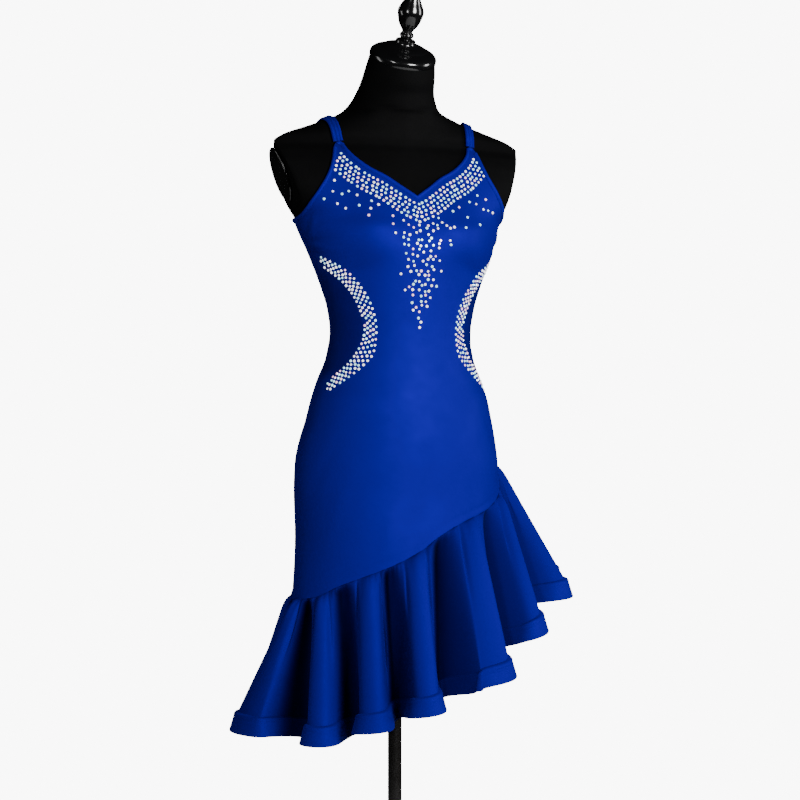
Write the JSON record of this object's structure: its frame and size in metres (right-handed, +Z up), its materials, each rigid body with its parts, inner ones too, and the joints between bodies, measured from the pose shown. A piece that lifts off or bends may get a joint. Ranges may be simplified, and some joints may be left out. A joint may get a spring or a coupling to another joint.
{
  "type": "salsa dance dress on a dress form stand",
  "caption": "Strappy V-neck sheath dance dress with a slanting gathered flounce and stiff stepped hem, worn by a smooth limbless form on a pole and round base.",
  "frame": {"origin": "centre of the underside of the round base, on the pole's axis", "axes": "+Z up the pole, the dress's front faces -Y, the wearer's left is +X"},
  "size_m": [0.5601, 0.5291, 1.6047],
  "materials": {
    "satin": "royal blue stretch satin with a soft sheen",
    "binding": "royal blue satin binding and straps",
    "hem_satin": "royal blue satin over a stiff hem braid",
    "form_cover": "black jersey cover",
    "gloss_black": "glossy black",
    "stand_metal": "semi-gloss black",
    "crystal": "clear rainbow-coated rhinestones"
  },
  "bodies": {
    "root": {"torso": "form_cover", "arm_plate_left": "gloss_black", "arm_plate_right": "gloss_black", "neck_cap": "gloss_black", "finial": "gloss_black", "socket": "stand_metal", "pole": "stand_metal", "base": "stand_metal", "front_panel": "satin", "back_panel": "satin", "neck_binding": "binding", "back_neck_binding": "binding", "armhole_binding_left": "binding", "armhole_binding_right": "binding", "strap_left": "binding", "strap_right": "binding", "flounce_front": "satin", "flounce_back": "satin", "hem_band_front": "hem_satin", "hem_band_back": "hem_satin"}
  },
  "joints": []
}
